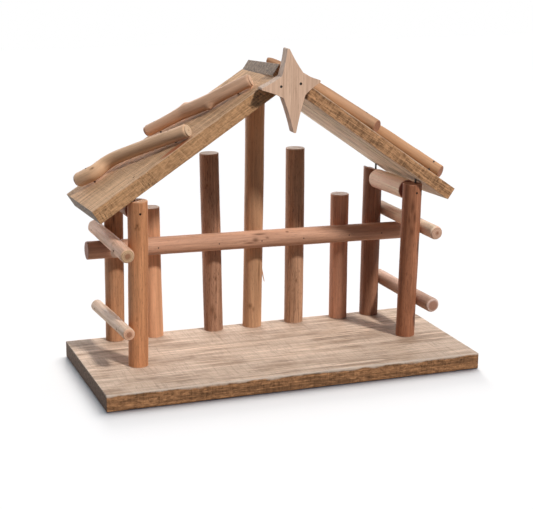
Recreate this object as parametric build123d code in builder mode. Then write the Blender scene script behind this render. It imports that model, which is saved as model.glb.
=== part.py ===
"""Wooden nativity stable: an open shelter of round sticks on a board, with two roof planks and a star.

The origin is the centre of the board's underside. +X is to the viewer's right, +Y to the back, +Z up.
Lengths are in millimetres and angles in degrees.
"""
from build123d import *
import math
import os

# Base board
base_width = 400
base_depth = 180
base_thickness = 17
base_arris = 1

# Uprights, cut square from round sticks: a rear row of posts and pickets, and front posts spaced from it.
# Posts are set in from the board's ends, and pickets stand at shares of the way between the rear posts.
stick_diameter = 20
wall_height = 170
tall_picket_height = 197
short_picket_height = 142.5
front_left_post_inset = 53
front_left_post_spacing = 91
front_left_post_lean = 0.6
front_right_post_inset = 46
front_right_post_spacing = 86
front_right_post_lean = 1.2
rear_left_post_inset = 52
rear_left_post_lean = 0.4
rear_right_post_inset = 51.2
rear_right_post_lean = 0.4
short_left_picket_share = 0.145
short_left_picket_lean = -1
tall_left_picket_share = 0.373
tall_left_picket_lean = -1.3
centre_picket_share = 0.524
centre_picket_lean = 0.6
tall_right_picket_share = 0.69
tall_right_picket_lean = 0
short_right_picket_share = 0.872
short_right_picket_lean = -0.15

# Back rail, nailed to the front of the rear row, with its heights above the board at the two rear posts
back_rail_diameter = 18.8
back_rail_left_height = 105
back_rail_right_height = 101
back_rail_overhang = 36

# Side rails, nailed to the outer sides of the posts, with their heights above the board at the posts
upper_left_rail_diameter = 14.5
upper_left_rail_front_height = 121.5
lower_left_rail_diameter = 12.5
lower_left_rail_front_height = 40
lower_left_rail_rear_height = 36
upper_right_rail_diameter = 14.5
upper_right_rail_front_height = 118.3
upper_right_rail_rear_height = 120.7
lower_right_rail_diameter = 15.5
lower_right_rail_front_height = 38.3
lower_right_rail_rear_height = 39.8
side_rail_front_overhang = 26.5
side_rail_rear_overhang = 15
rail_end_chamfer = 1.5
twig_stub_diameter = 10
twig_stub_length = 2.6
twig_stub_setback = 37.5

# Bearers, one between the posts of each side, below the roof
bearer_diameter = 20
bearer_drop = 11

# Roof planks
left_roof_slope = 33
left_roof_roll = 1.5
right_roof_slope = 35
right_roof_roll = 2.5
left_plank_thickness = 16
right_plank_thickness = 13.8
plank_depth = 107
eave_overhang = 34
left_eave_skew = 2
left_ridge_taper = 12
right_ridge_skew = 5.5
roof_back_inset = 5
ridge_lip = 2

# Crooked sticks on the roof: shares of the plank's length from its left end and of its depth from its front
left_roof_stick_diameter = 15
right_roof_stick_diameter = 13
roof_stick_bend = 14
roof_stick_chamfer = 1.5
lower_left_stick_shares = ((0.059, 0.835), (0.13, 0.71), (0.215, 0.775), (0.551, 0.055))
upper_left_stick_shares = ((0.445, 0.845), (0.665, 0.5), (0.917, 0.18))
upper_right_stick_shares = ((0.055, 0.592), (0.533, 0.032))
lower_right_stick_shares = ((0.51, 0.42), (0.62, 0.27), (0.913, 0.022))
stick_nail_shares = (0.12, 0.86)

# Star
star_top_arm = 39.8
star_bottom_arm = 54
star_side_arm = 34
star_waist_width = 23.2
star_waist_height = 21.7
star_waist_shift = 2.8
star_waist_drop = 0.9
star_thickness = 12
star_hollow = 0.8
star_tip_round = 1.4
star_tilt = 5.3
star_rise = 3.7
star_offset = -2.2
star_nail_spacing = 20.8

# Square wire brads without heads, driven below the surface
nail_width = 1.6
nail_sink = 1
nail_gap = 0.05
base_nail_grip = 25
roof_nail_grip = 20
ridge_nail_grip = 14
star_nail_grip = 12
bearer_nail_grip = 16
ridge_nail_shares = (0.3, 0.7)
roof_nail_offset_share = 0.35
rail_nail_grip_share = 0.6
stick_nail_grip_share = 0.6

# Gap where round sides meet, and how far a cut runs past the face it opens
contact_gap = 0.1
overrun = 2

# Places that follow from the sizes
stick_radius = stick_diameter / 2
front_left_post_x = front_left_post_inset - base_width / 2
front_right_post_x = base_width / 2 - front_right_post_inset
rear_left_post_x = rear_left_post_inset - base_width / 2
rear_right_post_x = base_width / 2 - rear_right_post_inset
rear_span = rear_right_post_x - rear_left_post_x
rear_row_y = base_depth / 2 - stick_radius
front_left_post_y = rear_row_y - front_left_post_spacing
front_right_post_y = rear_row_y - front_right_post_spacing
wall_top = base_thickness + wall_height
left_eave_x = front_left_post_x - stick_radius
right_eave_x = front_right_post_x + stick_radius
roof_back_y = base_depth / 2 - roof_back_inset
roof_front_y = roof_back_y - plank_depth
left_angle = math.radians(left_roof_slope)
right_angle = math.radians(right_roof_slope)
left_pitch = math.tan(left_angle)
right_pitch = math.tan(right_angle)
left_roll_rise = (front_left_post_y - roof_front_y) * math.tan(math.radians(left_roof_roll))
right_roll_rise = (front_right_post_y - roof_front_y) * math.tan(math.radians(right_roof_roll))

# Undersides of the two roof planks: each deck plane starts at the roof's front and passes over the outer side
# of the front post
left_deck = Plane(
    origin=(left_eave_x, roof_front_y, wall_top + left_roll_rise),
    x_dir=(math.cos(left_angle), 0, math.sin(left_angle)),
    z_dir=(-math.sin(left_angle), 0, math.cos(left_angle)),
).rotated((-left_roof_roll, 0, 0))
right_deck = Plane(
    origin=(right_eave_x, roof_front_y, wall_top + right_roll_rise),
    x_dir=(math.cos(right_angle), 0, -math.sin(right_angle)),
    z_dir=(math.sin(right_angle), 0, math.cos(right_angle)),
).rotated((-right_roof_roll, 0, 0))

# The undersides meet at the apex, and the left plank's top meets the right plank's underside at the ridge
deck_moment = right_eave_x * right_pitch + left_eave_x * left_pitch
left_plank_rise = left_plank_thickness / math.cos(left_angle)
apex_x = deck_moment / (left_pitch + right_pitch)
apex_z = wall_top + (right_eave_x - apex_x) * right_pitch
ridge_x = (deck_moment - left_plank_rise) / (left_pitch + right_pitch)
ridge = Vector(ridge_x, 0, wall_top + (right_eave_x - ridge_x) * right_pitch)
left_run = (-eave_overhang, left_deck.to_local_coords(ridge).X)
right_run = (right_deck.to_local_coords(ridge).X, eave_overhang)


def foot(x, y, lean):
    """The workplane at the foot of an upright that leans to the right by an angle."""
    tilt = math.radians(lean)
    return Plane(
        origin=(x, y, base_thickness),
        x_dir=(math.cos(tilt), 0, -math.sin(tilt)),
        z_dir=(math.sin(tilt), 0, math.cos(tilt)),
    )


def picket_foot(share, lean):
    """The workplane at the foot of a picket that stands in the rear row, at a share of the way along it."""
    return foot(rear_left_post_x + share * rear_span, rear_row_y, lean)


def reach(stand, deck):
    """The length at which the rim of a square-cut upright touches the underside of a roof plank."""
    up = deck.z_dir
    rim = stick_radius * math.hypot(up.dot(stand.x_dir), up.dot(stand.y_dir))
    return -(up.dot(stand.origin - deck.origin) + rim) / up.dot(stand.z_dir)


def on_axis(stand, height):
    """The point of an upright's axis at a height above the board."""
    return stand.origin + stand.z_dir * (height / stand.z_dir.Z)


def height_on(plane, point):
    """The height of a sloping plane above or below a point."""
    across = plane.z_dir.X * (point.X - plane.origin.X) + plane.z_dir.Y * (point.Y - plane.origin.Y)
    return plane.origin.Z - across / plane.z_dir.Z


def stretch(first, second, before, after):
    """The start plane and the length of a round piece that passes two points and runs on past both."""
    run = (second - first).normalized()
    return Plane(origin=first - run * before, z_dir=run), (second - first).length + before + after


def nail_holes(nails):
    """Cut the holes of some nails, each a plane on the surface and a length, in the part being built."""
    deep = (Align.CENTER, Align.CENTER, Align.MAX)
    bore = nail_width + 2 * nail_gap
    for entry, length in nails:
        with Locations(entry.offset(overrun)):
            Box(bore, bore, overrun + nail_sink + length, align=deep, mode=Mode.SUBTRACT)


def add_nails(nails):
    """Add some nails, each a plain square shank, to the part being built."""
    deep = (Align.CENTER, Align.CENTER, Align.MAX)
    for entry, length in nails:
        with Locations(entry.offset(-nail_sink)):
            Box(nail_width, nail_width, length, align=deep)


def save(builder, name):
    """Label a finished piece and write its file."""
    builder.part.label = name
    export_step(builder.part, f"parts/{name}.step")


os.makedirs("parts", exist_ok=True)

# Where each upright stands
stands = {
    "front_left_post": foot(front_left_post_x, front_left_post_y, front_left_post_lean),
    "front_right_post": foot(front_right_post_x, front_right_post_y, front_right_post_lean),
    "rear_left_post": foot(rear_left_post_x, rear_row_y, rear_left_post_lean),
    "rear_right_post": foot(rear_right_post_x, rear_row_y, rear_right_post_lean),
    "short_left_picket": picket_foot(short_left_picket_share, short_left_picket_lean),
    "tall_left_picket": picket_foot(tall_left_picket_share, tall_left_picket_lean),
    "centre_picket": picket_foot(centre_picket_share, centre_picket_lean),
    "tall_right_picket": picket_foot(tall_right_picket_share, tall_right_picket_lean),
    "short_right_picket": picket_foot(short_right_picket_share, short_right_picket_lean),
}

# Posts and the centre picket are cut to length under the roof, the other pickets end free
lengths = {
    "front_left_post": reach(stands["front_left_post"], left_deck),
    "front_right_post": reach(stands["front_right_post"], right_deck),
    "rear_left_post": reach(stands["rear_left_post"], left_deck),
    "rear_right_post": reach(stands["rear_right_post"], right_deck),
    "short_left_picket": short_picket_height,
    "tall_left_picket": tall_picket_height,
    "centre_picket": min(reach(stands["centre_picket"], deck) for deck in (left_deck, right_deck)),
    "tall_right_picket": tall_picket_height,
    "short_right_picket": short_picket_height,
}

# Nails down through the roof planks into the end grain of the uprights that carry them
roof_carriers = (
    ("front_left_post", left_deck, left_plank_thickness, -1),
    ("rear_left_post", left_deck, left_plank_thickness, -1),
    ("front_right_post", right_deck, right_plank_thickness, 1),
    ("rear_right_post", right_deck, right_plank_thickness, 1),
    ("centre_picket", right_deck, right_plank_thickness, 1),
)
roof_nails = {}
for name, deck, thickness, side in roof_carriers:
    head = on_axis(stands[name], lengths[name] * stands[name].z_dir.Z)
    shift = Vector(side * roof_nail_offset_share * stick_radius, 0, 0)
    top = height_on(deck.offset(thickness), head + shift)
    entry = Plane(origin=(head.X + shift.X, head.Y, top), z_dir=(0, 0, 1))
    roof_nails[name] = (entry, top - nail_sink - head.Z + roof_nail_grip)

# Back rail: its axis lies in front of the rear row, and a nail goes into each upright that it crosses
back_rail_stand_off = stick_radius + back_rail_diameter / 2 + contact_gap
to_front = Vector(0, -1, 0)
back_rail_first = on_axis(stands["rear_left_post"], back_rail_left_height) + to_front * back_rail_stand_off
back_rail_last = on_axis(stands["rear_right_post"], back_rail_right_height) + to_front * back_rail_stand_off
back_rail_climb = (back_rail_last.Z - back_rail_first.Z) / (back_rail_last.X - back_rail_first.X)
back_rail_nail_length = back_rail_diameter + contact_gap + rail_nail_grip_share * stick_diameter - nail_sink
back_rail_nails = {}
for name, stand in stands.items():
    if stand.origin.Y == rear_row_y:
        level = back_rail_first.Z + (stand.origin.X - back_rail_first.X) * back_rail_climb
        back_rail_front = back_rail_stand_off + back_rail_diameter / 2
        point = on_axis(stand, level - base_thickness) + to_front * back_rail_front
        back_rail_nails[name] = (Plane(origin=point, z_dir=to_front), back_rail_nail_length)

# The upper left rail rests on the end of the back rail, which sets its height at the rear post
upper_left_rail_x = rear_left_post_x - stick_radius - upper_left_rail_diameter / 2
upper_left_rail_seat_height = (
    back_rail_first.Z
    + (upper_left_rail_x - back_rail_first.X) * back_rail_climb
    + (back_rail_diameter + upper_left_rail_diameter) / 2
    + contact_gap
    - base_thickness
)
upper_left_rail_climb = (upper_left_rail_seat_height - upper_left_rail_front_height) / (
    back_rail_first.Y - stands["front_left_post"].origin.Y
)
upper_left_rail_rear_height = upper_left_rail_seat_height + upper_left_rail_climb * back_rail_stand_off

# Side rails: each touches the outer sides of a front and a rear post, and a nail goes into both
side_rails = (
    ("upper_left_rail", "left", -1, upper_left_rail_diameter,
     upper_left_rail_front_height, upper_left_rail_rear_height),
    ("lower_left_rail", "left", -1, lower_left_rail_diameter,
     lower_left_rail_front_height, lower_left_rail_rear_height),
    ("upper_right_rail", "right", 1, upper_right_rail_diameter,
     upper_right_rail_front_height, upper_right_rail_rear_height),
    ("lower_right_rail", "right", 1, lower_right_rail_diameter,
     lower_right_rail_front_height, lower_right_rail_rear_height),
)
side_rail_places = {}
side_rail_nails = {name: [] for name in stands}
for name, hand, side, diameter, front_height, rear_height in side_rails:
    outward = Vector(side, 0, 0)
    stand_off = outward * (stick_radius + diameter / 2 + contact_gap)
    front_point = on_axis(stands[f"front_{hand}_post"], front_height) + stand_off
    rear_point = on_axis(stands[f"rear_{hand}_post"], rear_height) + stand_off
    side_rail_places[name] = (front_point, rear_point)
    for post, point in ((f"front_{hand}_post", front_point), (f"rear_{hand}_post", rear_point)):
        entry = Plane(origin=point + outward * (diameter / 2), z_dir=outward)
        length = diameter + contact_gap + rail_nail_grip_share * stick_diameter - nail_sink
        side_rail_nails[post].append((name, (entry, length)))

# Bearers: each is butted between the two posts of its side and nailed through them
bearer_places = {}
bearer_nails = {}
for hand in ("left", "right"):
    front_stand, rear_stand = stands[f"front_{hand}_post"], stands[f"rear_{hand}_post"]
    front_point = on_axis(front_stand, wall_height - bearer_drop)
    rear_point = on_axis(rear_stand, wall_height - bearer_drop)
    run = (rear_point - front_point).normalized()
    bearer_places[hand] = (front_point, rear_point)
    length = stick_diameter + contact_gap + bearer_nail_grip - nail_sink
    bearer_nails[f"front_{hand}_post"] = (Plane(origin=front_point - run * stick_radius, z_dir=-run), length)
    bearer_nails[f"rear_{hand}_post"] = (Plane(origin=rear_point + run * stick_radius, z_dir=run), length)

# Base board with a nail up through it into each upright
base_nails = {}
for name, stand in stands.items():
    entry = Plane(origin=(stand.origin.X, stand.origin.Y, 0), z_dir=(0, 0, -1))
    base_nails[name] = (entry, base_thickness + base_nail_grip - nail_sink)
with BuildPart() as base_board:
    with BuildSketch():
        Rectangle(base_width, base_depth)
    extrude(amount=base_thickness)
    chamfer(base_board.faces().sort_by(Axis.Z)[-1].edges(), length=base_arris)
    nail_holes(base_nails.values())
save(base_board, "base_board")

# Posts and pickets
for name, stand in stands.items():
    with BuildPart() as upright:
        with BuildSketch(stand.offset(-overrun)):
            Circle(stick_radius)
        extrude(amount=overrun + lengths[name])
        split(bisect_by=Plane.XY.offset(base_thickness), keep=Keep.TOP)
        nail_holes([nail for rail, nail in side_rail_nails[name]])
        for nails in (base_nails, roof_nails, back_rail_nails, bearer_nails):
            if name in nails:
                nail_holes([nails[name]])
    save(upright, name)

# Back rail
with BuildPart() as back_rail:
    start, length = stretch(back_rail_first, back_rail_last, back_rail_overhang, back_rail_overhang)
    with BuildSketch(start):
        Circle(back_rail_diameter / 2)
    extrude(amount=length)
    nail_holes(back_rail_nails.values())
save(back_rail, "back_rail")

# Side rails with rounded ends, and the stub of a cut twig below the upper left one
for name, hand, side, diameter, front_height, rear_height in side_rails:
    with BuildPart() as side_rail:
        start, length = stretch(*side_rail_places[name], side_rail_front_overhang, side_rail_rear_overhang)
        with BuildSketch(start):
            Circle(diameter / 2)
        extrude(amount=length)
        chamfer(side_rail.edges().filter_by(GeomType.CIRCLE), length=rail_end_chamfer)
        if name == "upper_left_rail":
            with Locations(Plane(origin=start.origin + start.z_dir * twig_stub_setback, z_dir=(0, 0, -1))):
                Cylinder(
                    twig_stub_diameter / 2,
                    diameter / 2 + twig_stub_length,
                    align=(Align.CENTER, Align.CENTER, Align.MIN),
                )
        for nails in side_rail_nails.values():
            nail_holes([nail for rail, nail in nails if rail == name])
    save(side_rail, name)

# Bearers
for hand, (front_point, rear_point) in bearer_places.items():
    with BuildPart() as bearer:
        start, length = stretch(
            front_point, rear_point, -(stick_radius + contact_gap), -(stick_radius + contact_gap)
        )
        with BuildSketch(start):
            Circle(bearer_diameter / 2)
        extrude(amount=length)
        nail_holes([bearer_nails[f"front_{hand}_post"], bearer_nails[f"rear_{hand}_post"]])
    save(bearer, f"{hand}_bearer")

# Crooked sticks on the roof, each on straight runs and bends that lie flat on its plank
left_seat = left_deck.offset(left_plank_thickness + left_roof_stick_diameter / 2 + contact_gap)
right_seat = right_deck.offset(right_plank_thickness + right_roof_stick_diameter / 2 + contact_gap)
roof_sticks = (
    ("lower_left_roof_stick", left_seat, left_run, left_roof_stick_diameter,
     left_plank_thickness, lower_left_stick_shares),
    ("upper_left_roof_stick", left_seat, left_run, left_roof_stick_diameter,
     left_plank_thickness, upper_left_stick_shares),
    ("upper_right_roof_stick", right_seat, right_run, right_roof_stick_diameter,
     right_plank_thickness, upper_right_stick_shares),
    ("lower_right_roof_stick", right_seat, right_run, right_roof_stick_diameter,
     right_plank_thickness, lower_right_stick_shares),
)
stick_nails = {}
for name, seat, (low, high), diameter, thickness, path_shares in roof_sticks:
    places = [(low + along * (high - low), across * plank_depth) for along, across in path_shares]
    with BuildPart() as roof_stick:
        with BuildLine(seat) as path:
            if len(places) > 2:
                FilletPolyline(*places, radius=roof_stick_bend)
            else:
                Line(*places)
        with BuildSketch(Plane(origin=path.line @ 0, z_dir=path.line % 0)):
            Circle(diameter / 2)
        sweep(path=path.line)
        chamfer(roof_stick.faces().filter_by(GeomType.PLANE).edges(), length=roof_stick_chamfer)
        length = diameter + contact_gap + stick_nail_grip_share * thickness - nail_sink
        stick_nails[name] = [
            (Plane(origin=path.line @ share + seat.z_dir * (diameter / 2), z_dir=seat.z_dir), length)
            for share in stick_nail_shares
        ]
        nail_holes(stick_nails[name])
    save(roof_stick, name)

# Star: four hollow-sided points round an off-centre waist, with nails through its side arms into the two planks
star_angle = math.radians(star_tilt)
star_back = Plane(
    origin=(apex_x + star_offset, roof_front_y, apex_z + star_rise),
    x_dir=(math.cos(star_angle), 0, math.sin(star_angle)),
    z_dir=(0, -1, 0),
)
star_front = star_back.offset(star_thickness)
star_nails = [
    (
        Plane(origin=star_front.from_local_coords((side * star_nail_spacing / 2, 0, 0)), z_dir=(0, -1, 0)),
        star_thickness + star_nail_grip - nail_sink,
    )
    for side in (-1, 1)
]
waist_right, waist_left = star_waist_shift + star_waist_width / 2, star_waist_shift - star_waist_width / 2
waist_top, waist_bottom = star_waist_height / 2 - star_waist_drop, -star_waist_height / 2 - star_waist_drop
star_points = (
    (0, star_top_arm), (waist_right, waist_top), (star_side_arm, 0), (waist_right, waist_bottom),
    (0, -star_bottom_arm), (waist_left, waist_bottom), (-star_side_arm, 0), (waist_left, waist_top),
)
with BuildPart() as star:
    with BuildSketch(star_back):
        with BuildLine():
            for tip, corner in zip(star_points, star_points[1:] + star_points[:1]):
                SagittaArc(tip, corner, -star_hollow)
        make_face()
    extrude(amount=star_thickness)
    rims = star.edges().filter_by(Axis.Y).sort_by_distance(star_back.offset(star_thickness / 2).origin)
    fillet(rims[4:], radius=star_tip_round)
    nail_holes(star_nails)
save(star, "star")

# Nails down through the right plank into the bevelled end of the left one
ridge_bearing = (apex_x - ridge_x) / math.cos(right_angle) / 2
ridge_top = right_deck.offset(right_plank_thickness)
ridge_nails = []
for share in ridge_nail_shares:
    point = ridge_top.from_local_coords((right_run[0] + ridge_bearing, share * plank_depth, 0))
    ridge_nails.append(
        (Plane(origin=point, z_dir=right_deck.z_dir), right_plank_thickness + ridge_nail_grip - nail_sink)
    )

# Left roof plank: its back runs in towards the ridge, and its end is bevelled to bear on the right plank
with BuildPart() as left_roof_plank:
    left_reach = left_run[1] + 2 * left_plank_thickness
    with BuildSketch(left_deck):
        with BuildLine():
            Polyline(
                (left_run[0], 0),
                (left_reach, 0),
                (left_reach, plank_depth - left_ridge_taper),
                (left_run[0] - left_eave_skew, plank_depth),
                close=True,
            )
        make_face()
    extrude(amount=left_plank_thickness)
    split(bisect_by=right_deck, keep=Keep.BOTTOM)
    nail_holes([roof_nails["front_left_post"], roof_nails["rear_left_post"], *ridge_nails, star_nails[0]])
    nail_holes(stick_nails["lower_left_roof_stick"] + stick_nails["upper_left_roof_stick"])
save(left_roof_plank, "left_roof_plank")

# Right roof plank: its end, not quite square, stands proud of the left plank at the ridge
with BuildPart() as right_roof_plank:
    right_reach = right_run[0] - ridge_lip
    with BuildSketch(right_deck):
        with BuildLine():
            Polyline(
                (right_reach, 0),
                (right_run[1], 0),
                (right_run[1], plank_depth),
                (right_reach + right_ridge_skew, plank_depth),
                close=True,
            )
        make_face()
    extrude(amount=right_plank_thickness)
    nail_holes([roof_nails["front_right_post"], roof_nails["rear_right_post"], roof_nails["centre_picket"]])
    nail_holes([*ridge_nails, star_nails[1]])
    nail_holes(stick_nails["upper_right_roof_stick"] + stick_nails["lower_right_roof_stick"])
save(right_roof_plank, "right_roof_plank")

# Nails, one group for each kind of joint
nail_groups = {
    "base_nails": base_nails.values(),
    "roof_nails": roof_nails.values(),
    "back_rail_nails": back_rail_nails.values(),
    "side_rail_nails": [nail for nails in side_rail_nails.values() for rail, nail in nails],
    "bearer_nails": bearer_nails.values(),
    "roof_stick_nails": [nail for nails in stick_nails.values() for nail in nails],
    "star_nails": star_nails,
    "ridge_nails": ridge_nails,
}
for name, nails in nail_groups.items():
    with BuildPart() as nail_group:
        add_nails(nails)
    save(nail_group, name)
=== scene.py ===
# %% [markdown]
# # A nativity stable of sticks and sawn boards
# The CAD model gives every stick, board and nail its size and place. This lesson dresses them for a picture.
# Each wooden piece gets an uneven, natural skin that follows its CAD solid, and a finish made of shader
# nodes. Lengths are in metres, +X is to the viewer's right, +Y to the back and +Z up.

# %% Load the frame
import itertools
import math

import bmesh
import bpy
import numpy as np
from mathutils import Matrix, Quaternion, Vector, noise


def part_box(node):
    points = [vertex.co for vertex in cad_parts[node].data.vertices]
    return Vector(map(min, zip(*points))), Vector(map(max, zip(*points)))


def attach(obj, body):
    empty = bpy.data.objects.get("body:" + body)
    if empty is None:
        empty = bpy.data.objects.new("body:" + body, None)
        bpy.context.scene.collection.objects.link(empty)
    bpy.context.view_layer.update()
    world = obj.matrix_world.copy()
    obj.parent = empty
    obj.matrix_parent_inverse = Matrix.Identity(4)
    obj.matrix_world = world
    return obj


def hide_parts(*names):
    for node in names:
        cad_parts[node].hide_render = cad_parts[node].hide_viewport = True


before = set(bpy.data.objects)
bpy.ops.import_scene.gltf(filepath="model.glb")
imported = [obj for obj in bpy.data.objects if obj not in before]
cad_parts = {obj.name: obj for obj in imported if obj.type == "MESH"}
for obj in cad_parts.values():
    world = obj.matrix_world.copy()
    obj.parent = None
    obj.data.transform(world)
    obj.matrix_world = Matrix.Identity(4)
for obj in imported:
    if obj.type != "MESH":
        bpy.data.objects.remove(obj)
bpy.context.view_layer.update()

MM = 0.001

# %% [markdown]
# ## Reading the solids
# A skin has to sit where its solid is, so its lines are measured on the CAD meshes instead of being typed in.
# A straight stick is known by the centres of its two ends and its radius. A plank is known by its eight
# corners, which are the points that lie furthest out along its own three directions.

# %% Measure sticks and boards
END_WINDOW = 2.5 * MM
SQUARE_LIMIT = 0.1


def solid_points(node):
    """The points of a CAD node as an array."""
    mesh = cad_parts[node].data
    points = np.empty(len(mesh.vertices) * 3)
    mesh.vertices.foreach_get("co", points)
    return points.reshape(-1, 3)


def stick_line(node):
    """Both end centres of a straight round node, the lower, left or front one first, and its radius."""
    points = solid_points(node)
    middle = points.mean(0)
    axes = np.linalg.svd(points - middle)[2]
    if axes[0][np.argmax(abs(axes[0]))] < 0:
        axes[0] = -axes[0]
    places = (points - middle) @ axes.T
    ends, spans = [], []
    for limit in (places[:, 0].min(), places[:, 0].max()):
        rim = places[abs(places[:, 0] - limit) < END_WINDOW]
        centre = (rim.min(0) + rim.max(0)) / 2
        ends.append(Vector(middle + np.array([limit, centre[1], centre[2]]) @ axes))
        spans.append(np.ptp(rim[:, 1]))
    return ends[0], ends[1], min(spans) / 2


def box_corners(node):
    """The eight corners of a node's box, by (along, across, up) as 0 or 1."""
    low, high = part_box(node)
    return {
        (i, j, k): Vector(((low, high)[i].x, (low, high)[j].y, (low, high)[k].z))
        for i, j, k in itertools.product((0, 1), repeat=3)
    }


def plank_axes(node):
    """A sloping plank's directions: along it to the right, across it to the back, and up out of its top."""
    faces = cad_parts[node].data.polygons
    up = max(faces, key=lambda face: face.area).normal.copy()
    up *= math.copysign(1, up.z)
    rims = [face for face in faces if abs(face.normal.dot(up)) < SQUARE_LIMIT]
    back = -min(rims, key=lambda face: face.normal.y).normal
    return back.cross(up), back, up


def plank_corners(node):
    """A sloping plank's eight corners, by (along, across, up) as 0 or 1, from the left, front and below."""
    points = solid_points(node)
    places = points @ np.array(plank_axes(node)).T
    places = (places - places.min(0)) / np.ptp(places, axis=0)
    corners = {}
    for signs in itertools.product((0, 1), repeat=3):
        scores = places @ (2 * np.array(signs) - 1)
        corners[signs] = Vector(points[np.argmax(scores)])
    return corners


def between(corners, along, across, up):
    """The point of a board at shares of its length, depth and thickness."""
    total = Vector()
    for (i, j, k), corner in corners.items():
        weight = (along if i else 1 - along) * (across if j else 1 - across) * (up if k else 1 - up)
        total += corner * weight
    return total


print("centre picket:", stick_line("centre_picket"))
print("left plank, top of the ridge end:", plank_corners("left_roof_plank")[1, 0, 1])

# %% [markdown]
# ## Small words for shader trees
# Finishes are built from a few kinds of node over and over, so each kind gets a short function. A value
# given to one of them is a plain number or colour, or the output of another node, which is then linked.

# %% Functions that place nodes
def tint(red, green, blue):
    """A colour given as it looks on a screen, from 0 to 255, as the linear colour that the renderer needs."""
    def linear(level):
        share = level / 255
        return share / 12.92 if share <= 0.04045 else ((share + 0.055) / 1.055) ** 2.4
    return (linear(red), linear(green), linear(blue), 1)


def shade(colour, level, warmth=0.0):
    """A lighter or darker kind of a linear colour, warmer by a share that its green and blue lose."""
    losses = (1, 1 - warmth, 1 - 2 * warmth)
    return (*(min(1, part * level * loss) for part, loss in zip(colour, losses)), colour[3])


def place_node(tree, kind, inputs, **settings):
    """Add a node, with its settings, and with its inputs given by name or by number."""
    node = tree.nodes.new("ShaderNode" + kind)
    for name, setting in settings.items():
        setattr(node, name, setting)
    for key, value in inputs.items():
        if isinstance(value, bpy.types.NodeSocket):
            tree.links.new(value, node.inputs[key])
        else:
            node.inputs[key].default_value = value
    return node


def read(tree, name, vector=False):
    """The value that the mesh carries under a name."""
    node = place_node(tree, "Attribute", {}, attribute_name=name)
    return node.outputs["Vector" if vector else "Fac"]


def maths(tree, operation, *values, hold=True):
    """One operation on some values, with the result held between 0 and 1 unless told not to."""
    inputs = dict(enumerate(values))
    return place_node(tree, "Math", inputs, operation=operation, use_clamp=hold).outputs[0]


def stretched(tree, place, scale):
    """A place times a scale for each of its directions."""
    return place_node(tree, "VectorMath", {0: place, 1: scale}, operation="MULTIPLY").outputs[0]


def cloud(tree, place, scale, detail=3.0, roughness=0.55, distortion=0.0):
    """Smooth noise from 0 to 1 over a stretched place, with more and smaller lumps for more detail."""
    inputs = {"Vector": stretched(tree, place, scale), "Scale": 1, "Detail": detail,
              "Roughness": roughness, "Distortion": distortion}
    return place_node(tree, "TexNoise", inputs).outputs["Fac"]


def span(tree, value, low, high, start=0.0, end=1.0):
    """Map a value from low..high to start..end, and hold it there."""
    return place_node(tree, "MapRange", {0: value, 1: low, 2: high, 3: start, 4: end}).outputs[0]


def thin_lines(tree, value, width):
    """Lines where noise passes its middle value: 1 on a line, and 0 away from it."""
    away = maths(tree, "SUBTRACT", value, 0.5, hold=False)
    return span(tree, maths(tree, "ABSOLUTE", away, hold=False), 0, width, 1, 0)


def mixed(tree, share, first, second):
    """A colour between two."""
    node = place_node(tree, "Mix", {0: share, 6: first, 7: second}, data_type="RGBA")
    return node.outputs[2]


def layered(tree, colour, *layers):
    """Lay colours over one another. A layer is a mask, its strength and its colour."""
    for mask, strength, over in layers:
        colour = mixed(tree, maths(tree, "MULTIPLY", mask, strength), colour, over)
    return colour


def carved(tree, *cuts):
    """The height of a surface with some cuts in it. A cut is a mask and its depth."""
    height = 1.0
    for mask, depth in cuts:
        height = maths(tree, "SUBTRACT", height, maths(tree, "MULTIPLY", mask, depth))
    return height


# %% [markdown]
# ## Effects that the finishes share
# Wood looks like wood through a few effects: fibres and pores that run along it, marks that the saw left
# across it, rings on its cut ends, and arrises that are worn pale. Each effect is one node group with named
# inputs and outputs, so every finish can use it with its own values. The groups read a place that the mesh
# carries: its x and y lie across the grain and its z runs along it, so they suit sticks and boards at any
# angle.

# %% Start, end and use a node group
def start_group(name, inputs, outputs):
    """An empty node group with named sockets, and its input and output nodes."""
    group = bpy.data.node_groups.new(name, "ShaderNodeTree")
    for title, kind in inputs.items():
        group.interface.new_socket(title, in_out="INPUT", socket_type="NodeSocket" + kind)
    for title in outputs:
        group.interface.new_socket(title, in_out="OUTPUT", socket_type="NodeSocketFloat")
    return group, group.nodes.new("NodeGroupInput").outputs, group.nodes.new("NodeGroupOutput").inputs


def end_group(group, made, **results):
    """Link the results of a node group to its outputs."""
    for title, result in results.items():
        group.links.new(result, made[title])
    print("group:", group.name, list(results))


def use_group(tree, group, **inputs):
    """Place a node group in a finish and give back its outputs."""
    return place_node(tree, "Group", inputs, node_tree=group).outputs


# %% Fibres along the wood
group, given, made = start_group(
    "Fibre", {"Place": "Vector"}, ("Figure", "Streak", "Fleck", "Pore", "Growth")
)
figure = cloud(group, given["Place"], (120, 120, 7), 3, 0.5, 0.5)
streak = cloud(group, given["Place"], (620, 620, 16), 5, 0.62, 0.2)
fleck = cloud(group, given["Place"], (1300, 1300, 40), 3, 0.6)
pore = cloud(group, given["Place"], (1900, 1900, 190), 2, 0.5)
growth = cloud(group, given["Place"], (200, 200, 9), 3, 0.5, 0.6)
end_group(
    group, made,
    Figure=span(group, figure, 0.34, 0.66),
    Streak=span(group, streak, 0.36, 0.64),
    Fleck=span(group, fleck, 0.56, 0.7),
    Pore=span(group, pore, 0.58, 0.7),
    Growth=thin_lines(group, growth, 0.05),
)
fibre_group = group

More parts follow.
